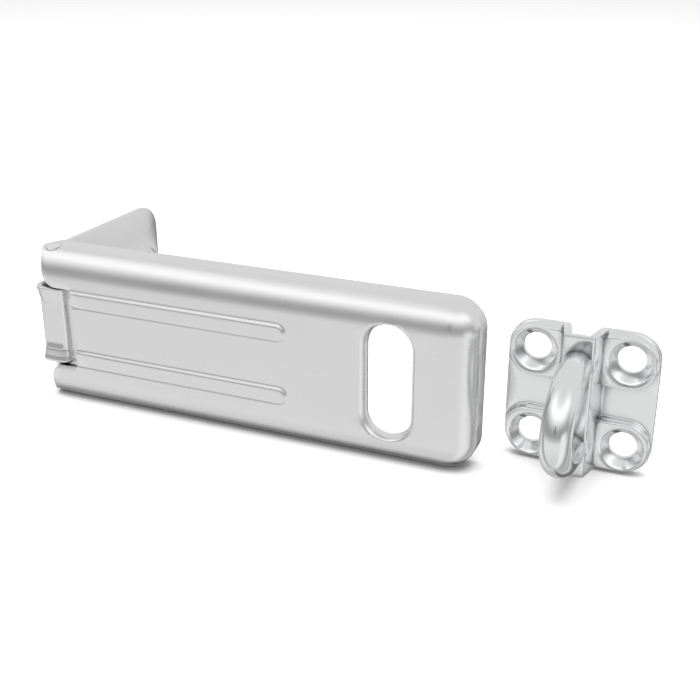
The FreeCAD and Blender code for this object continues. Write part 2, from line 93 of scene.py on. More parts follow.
class HaspStrapSettings(bpy.types.PropertyGroup):
    sheet: length("Sheet", "Thickness of the strap's sheet", 0.0014)
    bend_radius: length("Bend radius", "Outside radius of the bend from face to wall", 0.0052)
    crown: length("Crown", "How far the bend's soft start reaches over the flat face", 0.0016)
    corner_radius: length("Corner radius", "Outside radius of the free end's corners", 0.0066)
    depth: length("Depth", "Face to the back edge of the wall", 0.009)
    edge_round: length("Edge round", "Rounding of the sheet's cut edges", 0.00018)
    notch_height: length("Notch height", "Opening between the ears", 0.020)
    notch_depth: length("Notch depth", "Hinge axis to the notch's bottom", 0.0072)
    ear_wall: length("Ear wall", "Metal left round the pin", 0.001)
    ear_front: length("Ear front", "Hinge axis to where the face starts", 0.0001)
    ear_back: length("Ear back", "Hinge axis to where the back edge starts", 0.0005)
    ear_corner: length("Ear corner", "Rounded corner of an ear at the notch", 0.0035)
    slot_centre: length("Slot centre", "Hinge axis to the middle of the slot", 0.0874)
    slot_width: length("Slot width", "Narrow way across the slot", 0.0105)
    slot_height: length("Slot height", "Long way across the slot", 0.0261)
    slot_round: length("Slot round", "Rolled edge of the slot", 0.0012)
    slot_end_round: length("Slot end round", "Rolled edge at the slot's two ends", 0.0007)
    slot_crease: FloatProperty(
        name="Slot crease", description="Slope in degrees where the rolled edge starts", default=28.0
    )
    slot_collar: length("Slot collar", "Depth of the slot's turned edge", 0.0028)
    rib_width: length("Rib width", "Foot width of a rib", 0.0050)
    rib_crest: length("Rib crest", "Flat width on top of a rib", 0.0028)
    rib_height: length("Rib height", "Rise of a rib over the face", 0.0005)
    rib_offset: length("Rib offset", "Middle of the strap to a rib", 0.0076)
    rib_end: length("Rib end", "Hinge axis to the tip of a rib", 0.064)


class HaspLeafSettings(bpy.types.PropertyGroup):
    sheet: length("Sheet", "Thickness of the leaf's sheet", 0.0014)
    start: length("Start", "Hinge axis to where the full height starts", 0.0016)
    near_corner: length("Near corner", "Corner radius by the hinge", 0.0045)
    far_corner: length("Far corner", "Corner radius at the far edge", 0.0065)
    near_hole: length("Near holes", "Hinge axis to the two near holes", 0.0114)
    near_spacing: length("Near spacing", "Middle to middle of the near holes", 0.020)
    far_hole: length("Far hole", "Hinge axis to the far hole", 0.0422)
    hole_radius: length("Hole radius", "Radius of a screw hole", 0.00275)
    sink_radius: length("Sink radius", "Mouth radius of a screw seat", 0.0046)
    boss_crest: length("Boss crest", "Outer radius of a boss's flat ring", 0.0053)
    boss_radius: length("Boss radius", "Foot radius of a boss", 0.006)
    boss_height: length("Boss height", "Rise of a boss over the leaf", 0.0006)
    hole_straight: length("Hole straight", "Plain bore under the screw seat", 0.0007)
    knuckle_height: length("Knuckle height", "Length of the rolled knuckle", 0.0192)
    barrel: length("Barrel", "Hinge axis to the knuckle's flat sides", 0.0039)
    panel_width: length("Panel width", "Half width of the knuckle's sunk panel", 0.0026)
    panel_height: length("Panel height", "Half height of the knuckle's sunk panel", 0.0060)
    panel_depth: length("Panel depth", "Depth of the knuckle's sunk panel", 0.0004)


class HaspPlateSettings(bpy.types.PropertyGroup):
    sheet: length("Sheet", "Thickness of the plate's sheet", 0.0014)
    corner_radius: length("Corner radius", "Outline corners of the plate", 0.006)
    pad_rise: length("Pad rise", "Corner pads over the middle flats", 0.0018)
    pad_height: length("Pad height", "Size of a pad along the ridge", 0.0126)
    pad_draft: length("Pad draft", "Width of a pad's sloping side", 0.0009)
    hole_offset: length("Hole offset", "Middle of the plate to a hole, both ways", 0.010)
    hole_radius: length("Hole radius", "Radius of a screw hole", 0.003)
    sink_radius: length("Sink radius", "Mouth radius of a dished screw seat", 0.0047)
    ridge_rise: length("Ridge rise", "Crest over the middle flats", 0.006)
    ridge_crest: length("Ridge crest", "Width of the crest", 0.0064)
    ridge_foot: length("Ridge foot", "Width of the ridge at its foot", 0.0094)


class HaspLoopSettings(bpy.types.PropertyGroup):
    rod_radius: length("Rod radius", "Radius of the bent rod", 0.0033)
    foot_spacing: length("Foot spacing", "Middle to middle of the two feet", 0.019)
    neck: length("Neck", "Straight rod over the crest", 0.0022)
    segments: IntProperty(name="Segments", description="Facets round the rod", default=64, min=12)


class HaspFinishSettings(bpy.types.PropertyGroup):
    satin_colour: colour("Satin zinc", "Colour of the strap and leaf", (0.81, 0.81, 0.812))
    bright_colour: colour("Bright zinc", "Colour of the staple and its plate", (0.83, 0.835, 0.84))
    satin_roughness: FloatProperty(
        name="Satin roughness", description="Roughness of the strap and leaf", default=0.26
    )
    bright_roughness: FloatProperty(
        name="Bright roughness", description="Roughness of the staple", default=0.15
    )


class HaspStageSettings(bpy.types.PropertyGroup):
    floor_colour: colour("Floor", "Colour of the plain pale floor", (0.9, 0.9, 0.9))
    camera_target: FloatVectorProperty(
        name="Camera target",
        description="Point that the camera looks at",
        default=(0.071163, 0.0, -0.006665),
        subtype="XYZ",
    )
    camera_azimuth: FloatProperty(
        name="Azimuth", description="Camera's turn to the free end", default=math.radians(23.101),
        subtype="ANGLE",
    )
    camera_elevation: FloatProperty(
        name="Elevation", description="Camera's height", default=math.radians(22.685),
        subtype="ANGLE",
    )
    camera_distance: length("Camera distance", "Camera to its target", 0.26332)
    camera_lens: FloatProperty(name="Lens", description="Focal length in millimetres", default=55.18)


# Plane outlines and meshes


def arc(cx, cz, radius, start, stop, count):
    """Points of an arc in the sheet's plane, angles in degrees, both ends included."""
    angles = np.radians(np.linspace(start, stop, count))
    return [(cx + radius * math.cos(a), cz + radius * math.sin(a)) for a in angles]


def circle(cx, cz, radius, count):
    return arc(cx, cz, radius, 0.0, 360.0, count + 1)[:-1]


def rounded_box(x0, x1, z0, z1, radii, count):
    """Closed outline with corner radii in the order x0z0, x1z0, x1z1, x0z1."""
    corners = [
        (x0 + radii[0], z0 + radii[0], radii[0], 180),
        (x1 - radii[1], z0 + radii[1], radii[1], 270),
        (x1 - radii[2], z1 - radii[2], radii[2], 0),
        (x0 + radii[3], z1 - radii[3], radii[3], 90),
    ]
    points = []
    for cx, cz, radius, start in corners:
        points += arc(cx, cz, max(radius, TINY_RADIUS), start, start + 90, count)
    return points


def oblong(cx, cz, width, height, count):
    """Upright oblong with round ends."""
    radius = width / 2.0
    rise = height / 2.0 - radius
    return arc(cx, cz + rise, radius, 0, 180, count) + arc(cx, cz - rise, radius, 180, 360, count)


def box_distance(u, v, x0, x1, z0, z1, radii):
    """Depth inside a rounded box, positive inside; radii in the order x0z0, x1z0, x1z1, x0z1."""
    mid_u, mid_v = (x0 + x1) / 2.0, (z0 + z1) / 2.0
    half_u, half_v = (x1 - x0) / 2.0, (z1 - z0) / 2.0
    right, upper = u > mid_u, v > mid_v
    radius = np.where(right, np.where(upper, radii[2], radii[1]), np.where(upper, radii[3], radii[0]))
    a = np.abs(u - mid_u) - half_u + radius
    b = np.abs(v - mid_v) - half_v + radius
    outside = np.hypot(np.maximum(a, 0.0), np.maximum(b, 0.0))
    return -(outside + np.minimum(np.maximum(a, b), 0.0) - radius)


def inside(points, loop):
    """Which of the points lie inside a closed loop."""
    px, pz = points[:, 0], points[:, 1]
    result = np.zeros(len(points), bool)
    for (ax, az), (bx, bz) in zip(loop, loop[1:] + loop[:1]):
        crosses = (az > pz) != (bz > pz)
        if az != bz:
            result ^= crosses & (px < (bx - ax) * (pz - az) / (bz - az) + ax)
    return result


def densify(loop, pitch):
    """Adds points to a closed loop's long runs."""
    points = []
    for (ax, az), (bx, bz) in zip(loop, loop[1:] + loop[:1]):
        count = max(1, int(math.hypot(bx - ax, bz - az) / pitch))
        points += [(ax + (bx - ax) * i / count, az + (bz - az) * i / count) for i in range(count)]
    return points


def fill_region(outline, holes, contours, spare=()):
    """Triangles of a plane region that keep every loop and contour. Returns points and faces."""
    points, edges = [], []
    for loop, closed in [(outline, True)] + [(h, True) for h in holes] + list(contours):
        first = len(points)
        points += [Vector((x / MM, z / MM)) for x, z in loop]
        edges += [(first + i, first + i + 1) for i in range(len(loop) - 1)]
        if closed:
            edges.append((first + len(loop) - 1, first))
    points += [Vector((x / MM, z / MM)) for x, z in spare]
    found, _, faces, *_ = delaunay_2d_cdt(points, edges, [], 0, CUT_PRECISION)
    flat = np.array([(p.x, p.y) for p in found]) * MM
    faces = np.array(faces)
    middles = flat[faces].mean(axis=1)
    keep = inside(middles, outline)
    for hole in holes:
        keep &= ~inside(middles, hole)
    faces = faces[keep]
    used = np.unique(faces)
    lookup = np.full(len(flat), -1)
    lookup[used] = np.arange(len(used))
    return flat[used], lookup[faces]


def closed_sheet(triangles, count):
    """Faces of a sheet whose back repeats its front's vertices, count places further on."""
    triangles = [tuple(int(i) for i in f) for f in triangles]
    faces = triangles + [(c + count, b + count, a + count) for a, b, c in triangles]
    used = {edge for a, b, c in triangles for edge in ((a, b), (b, c), (c, a))}
    faces += [(b, a, a + count, b + count) for a, b in used if (b, a) not in used]
    return faces


def add_grid(vertices, faces, rows, closed):
    """Adds rows of points and the faces between them. A closed grid's rows are rings."""
    first, wide = len(vertices), len(rows[0])
    for row in rows:
        vertices += row
    for r in range(len(rows) - 1):
        for c in range(wide if closed else wide - 1):
            a, b = first + r * wide + c, first + r * wide + (c + 1) % wide
            faces.append((a, b, b + wide, a + wide))


def mesh_object(name, vertices, faces, towards=None):
    """Object from vertices and faces, merged, smooth and facing outwards."""
    mesh = bpy.data.meshes.new(name)
    mesh.from_pydata([tuple(v) for v in vertices], [], [tuple(int(i) for i in f) for f in faces])
    work = bmesh.new()
    work.from_mesh(mesh)
    bmesh.ops.remove_doubles(work, verts=work.verts, dist=WELD)
    bmesh.ops.recalc_face_normals(work, faces=work.faces)
    if towards is not None:
        total = Vector((0.0, 0.0, 0.0))
        for face in work.faces:
            total += face.normal * face.calc_area()
        if total.dot(Vector(towards)) < 0.0:
            bmesh.ops.reverse_faces(work, faces=work.faces)
    for face in work.faces:
        face.smooth = True
    work.to_mesh(mesh)
    work.free()
    piece = bpy.data.objects.new(name, mesh)
    bpy.context.scene.collection.objects.link(piece)
    return piece


def bevel_edges(piece, width, degrees, segments=3):
    bevel = piece.modifiers.new("edge_round", "BEVEL")
    bevel.width = width
    bevel.segments = segments
    bevel.limit_method = "ANGLE"
    bevel.angle_limit = math.radians(degrees)


def settle(piece):
    """Turns the piece with its modifiers into a plain mesh."""
    graph = bpy.context.evaluated_depsgraph_get()
    mesh = bpy.data.meshes.new_from_object(piece.evaluated_get(graph))
    piece.modifiers.clear()
    old = piece.data
    piece.data = mesh
    bpy.data.meshes.remove(old)
    return piece


def smooth_step(value):
    t = np.clip(value, 0.0, 1.0)
    return t * t * (3.0 - 2.0 * t)


def smooth_max(a, b, blend):
    """Larger of two heights, with the inner corner rounded over the length blend."""
    h = np.clip(0.5 + 0.5 * (a - b) / blend, 0.0, 1.0)
    return b + (a - b) * h + blend * h * (1.0 - h)


def smooth_min(a, b, blend):
    return -smooth_max(-a, -b, blend)


# Node trees, shader groups and finishes


def feed(tree, node, feeds):
    """Gives sockets, by name or number, a value or the output of another node."""
    for socket, source in feeds.items():
        if isinstance(source, bpy.types.NodeSocket):
            tree.links.new(source, node.inputs[socket])
        else:
            node.inputs[socket].default_value = source
    return node


def put(tree, kind, feeds=None, **settings):
    """New node with its settings, then its sockets' values and links."""
    node = tree.nodes.new(kind)
    for name, value in settings.items():
        setattr(node, name, value)
    return feed(tree, node, feeds or {})


def math_node(tree, operation, *terms):
    return put(tree, "ShaderNodeMath", dict(enumerate(terms)), operation=operation).outputs["Value"]


def colour_mix(tree, factor, below, above):
    """The colour below, replaced by the one above where the factor is one."""
    feeds = {"Factor": factor, "A": below, "B": above}
    return put(tree, "ShaderNodeMix", feeds, data_type="RGBA").outputs["Result"]


def grey(tone):
    return (tone, tone, tone, 1.0)


def group_tree(name, inputs, outputs):
    """Shader group. An input without a default is a vector, all others are numbers."""
    tree = bpy.data.node_groups.new(name, "ShaderNodeTree")
    for label, default in inputs.items():
        kind = "NodeSocketVector" if default is None else "NodeSocketFloat"
        socket = tree.interface.new_socket(name=label, in_out="INPUT", socket_type=kind)
        if default is not None:
            socket.default_value = default
    for label in outputs:
        tree.interface.new_socket(name=label, in_out="OUTPUT", socket_type="NodeSocketFloat")
    return tree, put(tree, "NodeGroupInput").outputs


def build_grain_group():
    """Rolled grain of the sheet: fine streaks, a soft cloud and small marks."""
    tree, given = group_tree(
        "rolled_grain",
        {"Vector": None, "Streak Scale": 900.0, "Stretch": 0.06, "Cloud Scale": 60.0},
        ("Streaks", "Cloud", "Marks"),
    )
    along = put(tree, "ShaderNodeCombineXYZ", {"X": given["Stretch"], "Y": 1.0, "Z": 1.0})
    scaled = put(tree, "ShaderNodeVectorMath", {0: given["Vector"], 1: along.outputs["Vector"]},
                 operation="MULTIPLY")
    streaks = put(tree, "ShaderNodeTexNoise", {
        "Vector": scaled.outputs["Vector"], "Scale": given["Streak Scale"], "Detail": 4.0})
    cloud = put(tree, "ShaderNodeTexNoise", {
        "Vector": given["Vector"], "Scale": given["Cloud Scale"], "Detail": 3.0})
    marks = put(tree, "ShaderNodeTexNoise", {
        "Vector": given["Vector"], "Scale": 420.0, "Detail": 6.0, "Roughness": 0.7})
    put(tree, "NodeGroupOutput", {
        "Streaks": streaks.outputs["Fac"],
        "Cloud": cloud.outputs["Fac"],
        "Marks": marks.outputs["Fac"],
    })
    return tree


def build_wear_group():
    """Mask of the rubbed outer edges."""
    tree, given = group_tree("edge_wear", {"Start": 0.52, "Full": 0.62}, ("Mask",))
    geometry = put(tree, "ShaderNodeNewGeometry")
    spread = put(tree, "ShaderNodeMapRange", {
        "Value": geometry.outputs["Pointiness"],
        "From Min": given["Start"],
        "From Max": given["Full"],
    })
    put(tree, "NodeGroupOutput", {"Mask": spread.outputs["Result"]})
    return tree


# Share of open surroundings where the painted shade in narrow gaps starts, and where it is full
GAP_START, GAP_FULL = 0.85, 0.50


def build_gap_shade_group():
    """Mask of painted shade: ambient occlusion darkens narrow gaps and inner corners."""
    tree, given = group_tree("painted_gap_shade", {"Distance": 0.003, "Depth": 0.6}, ("Mask",))
    shade = put(tree, "ShaderNodeAmbientOcclusion", {"Distance": given["Distance"]}, samples=8)
    spread = put(tree, "ShaderNodeMapRange", {
        "Value": shade.outputs["AO"],
        "From Min": GAP_START,
        "From Max": GAP_FULL,
        "To Min": 0.0,
        "To Max": given["Depth"],
    })
    put(tree, "NodeGroupOutput", {"Mask": spread.outputs["Result"]})
    return tree


RUBBED_TONE = grey(0.93)
RUBBED_SHARE = 0.6
# Near-black colour painted into gaps and inner corners as shade
PAINTED_SHADE_TONE = (0.05, 0.05, 0.052, 1.0)
# Parts of the cloud and of the streaks in the tone's mottling, and the range that it covers
CLOUD_PART, STREAK_PART = 0.6, 0.4
MOTTLE_LOW, MOTTLE_HIGH = 0.3, 0.7
# Scales and strengths of the grain, and of the painted shade in gaps, in each finish
SATIN_LOOK = {
    "streak_scale": 900.0, "stretch": 0.05, "cloud_scale": 55.0, "tone": 0.05, "painted_shade_depth": 0.95,
    "painted_shade_reach": 0.004, "gloss_spread": 0.22, "mark_height": 0.0015, "wave_height": 0.05,
}
BRIGHT_LOOK = {
    "streak_scale": 500.0, "stretch": 0.4, "cloud_scale": 110.0, "tone": 0.04, "painted_shade_depth": 0.6,
    "painted_shade_reach": 0.003, "gloss_spread": 0.3, "mark_height": 0.003, "wave_height": 0.10,
}


def zinc_material(name, tint, roughness, groups, look):
    """Plated metal with rolled grain, rubbed edges and painted shade in gaps."""
    material = bpy.data.materials.new(name)
    material.use_nodes = True
    tree = material.node_tree
    place = put(tree, "ShaderNodeTexCoord")
    sheet = put(tree, "ShaderNodeGroup", {
        "Vector": place.outputs["Object"],
        "Streak Scale": look["streak_scale"],
        "Stretch": look["stretch"],
        "Cloud Scale": look["cloud_scale"],
    }, node_tree=groups["grain"]).outputs
    rubbed = put(tree, "ShaderNodeGroup", {"Start": 0.53, "Full": 0.64}, node_tree=groups["wear"])
    # Painted shade: ambient occlusion mask that darkens gaps and inner corners
    gap_shade = put(tree, "ShaderNodeGroup", {"Distance": look["painted_shade_reach"], "Depth": look["painted_shade_depth"]},
              node_tree=groups["gaps"])
    mottled = math_node(tree, "ADD", math_node(tree, "MULTIPLY", sheet["Cloud"], CLOUD_PART),
                        math_node(tree, "MULTIPLY", sheet["Streaks"], STREAK_PART))
    darker = (*[c * (1.0 - look["tone"]) for c in tint], 1.0)
    lighter = (*[min(c * (1.0 + look["tone"]), 1.0) for c in tint], 1.0)
    tones = colour_mix(tree, mottled, darker, lighter)
    worn = colour_mix(tree, math_node(tree, "MULTIPLY", rubbed.outputs["Mask"], RUBBED_SHARE),
                      tones, RUBBED_TONE)
    gloss = put(tree, "ShaderNodeMapRange", {
        "Value": mottled,
        "From Min": MOTTLE_LOW,
        "From Max": MOTTLE_HIGH,
        "To Min": roughness * (1.0 - look["gloss_spread"]),
        "To Max": roughness * (1.0 + look["gloss_spread"]),
    })
    height = math_node(tree, "ADD",
                       math_node(tree, "MULTIPLY", sheet["Marks"], look["mark_height"]),
                       math_node(tree, "MULTIPLY", sheet["Cloud"], look["wave_height"]))
    bump = put(tree, "ShaderNodeBump", {"Strength": 1.0, "Distance": 1.0 * MM, "Height": height})
    feed(tree, tree.nodes["Principled BSDF"], {
        "Metallic": 1.0,
        "IOR": 1.5,
        # Painted shade mixed into the base colour
        "Base Color": colour_mix(tree, gap_shade.outputs["Mask"], worn, PAINTED_SHADE_TONE),
        "Roughness": gloss.outputs["Result"],
        "Normal": bump.outputs["Normal"],
    })
    return material


def finishes():
    """The two zinc finishes, made once."""
    s = bpy.context.scene.hasp_finish
    names = ("satin_zinc_finish", "bright_zinc_finish")
    if names[0] not in bpy.data.materials:
        groups = {"grain": build_grain_group(), "wear": build_wear_group(), "gaps": build_gap_shade_group()}
        zinc_material(names[0], s.satin_colour, s.satin_roughness, groups, SATIN_LOOK)
        zinc_material(names[1], s.bright_colour, s.bright_roughness, groups, BRIGHT_LOOK)
    return [bpy.data.materials[name] for name in names]


def finish_piece(piece, material):
    piece.data.materials.clear()
    piece.data.materials.append(material)


# Strap

# How far past the face and past the back edge the ear's two shoulders are aimed
SHOULDER_FRONT, SHOULDER_BACK = 2.0 * MM, 3.0 * MM
NOTCH_CORNER = 1.2 * MM
# Clear band round the rolled edge of the slot, across the whole slot
SLOT_MARGIN = 0.4 * MM
SLOT_POINTS = 33
# How far the cutting rod runs past the strap
DRILL_OVERRUN = 1.0 * MM
# Columns along an ear, a long edge, a corner and the free end
EAR_COLUMNS, EDGE_COLUMNS, CORNER_COLUMNS, END_COLUMNS = 9, 40, 15, 13
RIB_STEPS, RIB_TIP_STEPS = 24, 14
# Contours down a rib's side, as shares of its slope
RIB_CONTOURS = (-0.3, 0.0, 0.12, 0.3, 0.5, 0.7, 0.88, 1.0, 1.3)
# Rows of points inside the face's rim, where the bend's soft start reaches over it
CROWN_INSETS = (0.3 * MM, 0.7 * MM, 1.1 * MM, 1.6 * MM, 2.1 * MM)


def face_y(s):
    return STRAP_HIGH.y - s.depth


def ear_start(y, s):
    """Where an ear begins along X at the depth y: a lobe round the pin with tangent shoulders."""
    radius = PIN_RADIUS + s.ear_wall
    best = AXIS_X
    if abs(y - AXIS_Y) <= radius:
        best -= math.sqrt(radius ** 2 - (y - AXIS_Y) ** 2)
    shoulders = ((AXIS_X + s.ear_front, face_y(s) - SHOULDER_FRONT, 1),
                 (AXIS_X + s.ear_back, STRAP_HIGH.y + SHOULDER_BACK, -1))
    for px, py, side in shoulders:
        dx, dy = AXIS_X - px, AXIS_Y - py
        run = math.hypot(dx, dy)
        heading = math.atan2(dy, dx) + math.asin(radius / run) * side
        reach = math.sqrt(run ** 2 - radius ** 2)
        tx, ty = px + math.cos(heading) * reach, py + math.sin(heading) * reach
        if (ty - y) * side > 0.0:
            return px + (tx - px) * (y - py) / (ty - py)
    return best


def rib_tip(s):
    """Middle of the rib's round tip along X."""
    return AXIS_X + s.rib_end - s.rib_width / 2.0


def rib_slope(s):
    return (s.rib_width - s.rib_crest) / 2.0


def rib_contours(s):
    """Open contours of both ribs, from the notch round the tip and back."""
    steps = list(np.linspace(AXIS_X + s.notch_depth, rib_tip(s), RIB_STEPS))[:-1]
    contours = []
    for centre in (-s.rib_offset, s.rib_offset):
        for share in RIB_CONTOURS:
            half = s.rib_width / 2.0 - share * rib_slope(s)
            there = [(x, centre + half) for x in steps]
            back = [(x, centre - half) for x in reversed(steps)]
            contours.append((there + arc(rib_tip(s), centre, half, 90, -90, RIB_TIP_STEPS) + back, False))
    return contours


def rib_rise(s, points):
    """Rise of the ribs over the face."""
    x, z = points[:, 0], points[:, 1]
    rise = np.zeros(len(points))
    for centre in (-s.rib_offset, s.rib_offset):
        away = np.hypot(np.maximum(x - rib_tip(s), 0.0), z - centre)
        rise = np.maximum(rise, smooth_step((s.rib_width / 2.0 - away) / rib_slope(s)))
    return rise * s.rib_height


def face_crown(s, x, z):
    """How far the face falls back near its rim, where the bend's soft start reaches over it."""
    reach = s.bend_radius + s.crown
    over_z = np.abs(z) - (STRAP_HIGH.z - reach)
    over_x = x - (STRAP_HIGH.x - reach)
    over = np.hypot(np.maximum(over_z, 0.0), np.maximum(over_x, 0.0)).clip(0.0, s.crown)
    return s.bend_radius * (1.0 - np.sqrt(1.0 - (over / reach) ** 2))


def strap_columns(s):
    """Columns of the swept bend and wall: place on the face's rim, outward normal, ear share."""
    flat = STRAP_HIGH.z - s.bend_radius
    end = STRAP_HIGH.x - s.bend_radius
    corner = s.corner_radius - s.bend_radius
    notch = AXIS_X + s.notch_depth
    upper = [(None, flat, 0.0, 1.0, f) for f in np.linspace(0.0, 1.0, EAR_COLUMNS)[:-1]]
    upper += [(x, flat, 0.0, 1.0, 1.0) for x in np.linspace(notch, end - corner, EDGE_COLUMNS)[:-1]]
    for a in np.radians(np.linspace(90, 0, CORNER_COLUMNS)):
        c, d = math.cos(a), math.sin(a)
        upper.append((end - corner + corner * c, flat - corner + corner * d, c, d, 1.0))
    heights = np.linspace(flat - corner, corner - flat, END_COLUMNS)[1:-1]
    middle = [(end, z, 1.0, 0.0, 1.0) for z in heights]
    lower = [(x, -z, nx, -nz, share) for x, z, nx, nz, share in reversed(upper)]
    return upper + middle + lower


def strap_rows(s):
    """Rows of the bend and wall: outward offset and depth y."""
    reach = s.bend_radius + s.crown
    rows = []
    for a in np.linspace(math.asin(s.crown / reach), math.pi / 2.0, 21):
        rows.append((reach * math.sin(a) - s.crown, face_y(s) + s.bend_radius * (1.0 - math.cos(a))))
    wall = np.linspace(face_y(s) + s.bend_radius, STRAP_HIGH.y, 13)[1:]
    return rows + [(s.bend_radius, y) for y in wall]


def column_point(s, column, offset, y):
    x, z, nx, nz, share = column
    if x is None:
        start = ear_start(y, s)
        x = start + (AXIS_X + s.notch_depth - start) * share
    return (x + nx * offset, y, z + nz * offset)


def hinge_edge(s):
    """Outline of the face at the hinge end: the ears' corners and the notch between them."""
    notch = AXIS_X + s.notch_depth - NOTCH_CORNER
    half = s.notch_height / 2.0
    ear = ear_start(face_y(s), s) + s.ear_corner
    edge = arc(ear, -half - s.ear_corner, s.ear_corner, 180, 90, 9)
    edge += arc(notch, -half + NOTCH_CORNER, NOTCH_CORNER, -90, 0, 6)
    edge += arc(notch, half - NOTCH_CORNER, NOTCH_CORNER, 0, 90, 6)
    return edge + arc(ear, half + s.ear_corner, s.ear_corner, 270, 180, 9)


def slot_ring(s, offset, margin=0.0):
    """The slot's outline at an offset within its rolled edge."""
    height = s.slot_height + 2 * offset * s.slot_end_round / s.slot_round
    return oblong(AXIS_X + s.slot_centre, 0.0, s.slot_width + 2 * offset + margin,
                  height + margin, SLOT_POINTS)


def crown_points(s, outline):
    """Loose points inside the face's rim, clear of the slot."""
    points = []
    for inset in CROWN_INSETS:
        x1, z1 = STRAP_HIGH.x - s.bend_radius - inset, STRAP_HIGH.z - s.bend_radius - inset
        for x in np.linspace(AXIS_X + MM, x1, 110):
            points += [(x, z1), (x, -z1)]
        points += [(x1, z) for z in np.linspace(-z1, z1, 30)[1:-1]]
    places = np.array(points)
    return places[~inside(places, slot_ring(s, s.slot_round, SLOT_MARGIN)) & inside(places, outline)]


def slot_rows(s):
    """Rings of the slot's rolled edge, from the face to the end of its collar."""
    crease = math.radians(s.slot_crease)
    large = s.slot_round / (1.0 - math.sin(crease))
    roll = [(large * (1.0 - math.sin(a)), large * (math.cos(crease) - math.cos(a)))
            for a in np.linspace(crease, math.pi / 2.0, 9)]
    rows = []
    for offset, depth in roll + [(0.0, s.slot_collar)]:
        ring = np.array(slot_ring(s, offset))
        fall = face_crown(s, ring[:, 0], ring[:, 1]) * (1.0 - depth / s.slot_collar)
        rows.append([(x, face_y(s) + depth + f, z) for (x, z), f in zip(ring, fall)])
    return rows


def drill_mesh():
    """Vertices and faces of an upright rod on the hinge axis that runs past the strap."""
    ring = circle(AXIS_X, AXIS_Y, PIN_RADIUS + PIN_GAP, 48)
    vertices = [(x, y, STRAP_LOW.z - DRILL_OVERRUN) for x, y in ring]
    vertices += [(x, y, STRAP_HIGH.z + DRILL_OVERRUN) for x, y in ring]
    count = len(ring)
    faces = [(i, (i + 1) % count, (i + 1) % count + count, i + count) for i in range(count)]
    faces += [tuple(range(count)), tuple(range(count, 2 * count))]
    return vertices, faces


def build_strap(s):
    """Drawn strap: filled face, rolled slot edge, bend and wall, given the sheet's thickness."""
    columns = strap_columns(s)
    rows = strap_rows(s)
    rim = [column_point(s, c, 0.0, rows[0][1]) for c in columns]
    outline = [(x, z) for x, _, z in rim] + hinge_edge(s)
    flat, faces = fill_region(outline, [slot_ring(s, s.slot_round)], rib_contours(s),
                              crown_points(s, outline))
    rise = rib_rise(s, flat) - face_crown(s, flat[:, 0], flat[:, 1])
    vertices = [(x, face_y(s) - h, z) for (x, z), h in zip(flat, rise)]
    faces = [tuple(f) for f in faces]
    swept = [[column_point(s, c, offset, y) for c in columns] for offset, y in rows]
    add_grid(vertices, faces, swept, closed=False)
    add_grid(vertices, faces, slot_rows(s), closed=True)
    strap = mesh_object("strap_shell", vertices, faces, towards=(0.0, -1.0, 0.0))
    wall = strap.modifiers.new("sheet", "SOLIDIFY")
    wall.thickness = s.sheet
    wall.offset = -1.0
    wall.use_even_offset = True
    drill = mesh_object("drill", *drill_mesh())
    bore = strap.modifiers.new("pin_hole", "BOOLEAN")
    bore.operation = "DIFFERENCE"
    bore.solver = "EXACT"
    bore.object = drill
    bevel_edges(strap, s.edge_round, 55, 2)
    settle(strap)
    bpy.data.objects.remove(drill)
    return strap


# Hinge leaf

# Rounding where a screw seat meets its boss, and the least thickness left in any sheet
BOSS_BLEND = 0.15 * MM
LEAST_SHEET = 0.4 * MM
# Hollow behind a boss: inset from its foot, land left round the hole, and width of the slope
HOLLOW_INSET, HOLLOW_LAND, HOLLOW_SLOPE = 0.5 * MM, 1.0 * MM, 0.6 * MM
# Rings round a screw hole, in millimetres from its edge
LEAF_RINGS = (0.2, 0.7, 1.2, 1.5, 1.7, 1.85, 2.0, 2.3, 2.55, 2.7, 2.85, 3.0, 3.25, 3.6)
LEAF_PITCH = 1.2 * MM

KNUCKLE_SIDES = 72
# Squareness of the knuckle's section: 2 is round
SQUARE = 3.2
# Past the panel's end: distance up and step out from the barrel
PANEL_EDGE = ((0.2 * MM, 0.0), (0.6 * MM, 0.04 * MM))
# Crimps: distance below the knuckle's end and step out from the barrel
KNUCKLE_CRIMPS = ((2.6 * MM, 0.22 * MM), (2.3 * MM, 0.16 * MM), (2.0 * MM, 0.30 * MM),
                  (1.7 * MM, 0.24 * MM), (1.2 * MM, 0.42 * MM))
# Rim: distance below the knuckle's end and step in from its full size
KNUCKLE_RIM = ((0.6 * MM, 0.04 * MM), (0.2 * MM, 0.0), (0.05 * MM, 0.12 * MM))
# Open mouth: distance below the end, step in as a share of the sheet, and squareness
KNUCKLE_MOUTH = ((0.0, 0.5, SQUARE), (0.1 * MM, 0.9, SQUARE), (0.6 * MM, 1.05, 3.0))
# Bore: distance below the end, step out from the pin's bore, and squareness
KNUCKLE_BORE = ((1.6 * MM, 0.8 * MM, 2.6), (2.8 * MM, 0.2 * MM, 2.2), (3.4 * MM, 0.0, 2.0))
# Soft edges of the sunk panel, across and along it
PANEL_SIDE, PANEL_END = 0.6 * MM, 0.8 * MM


def leaf_holes(s):
    near, far = AXIS_Y + s.near_hole, AXIS_Y + s.far_hole
    return ((near, s.near_spacing / 2.0), (near, -s.near_spacing / 2.0), (far, 0.0))


def leaf_front(s, y, z):
    """Height of the leaf's front over its back plane."""
    rise = np.full(len(y), s.sheet)
    for hole_y, hole_z in leaf_holes(s):
        away = np.hypot(y - hole_y, z - hole_z)
        boss = smooth_step((s.boss_radius - away) / (s.boss_radius - s.boss_crest)) * s.boss_height
        cone = s.hole_straight + (away - s.hole_radius) / (s.sink_radius - s.hole_radius) * (
            s.sheet + s.boss_height - s.hole_straight)
        rise = np.where(away < s.boss_radius, smooth_min(s.sheet + boss, cone, BOSS_BLEND), rise)
    return rise


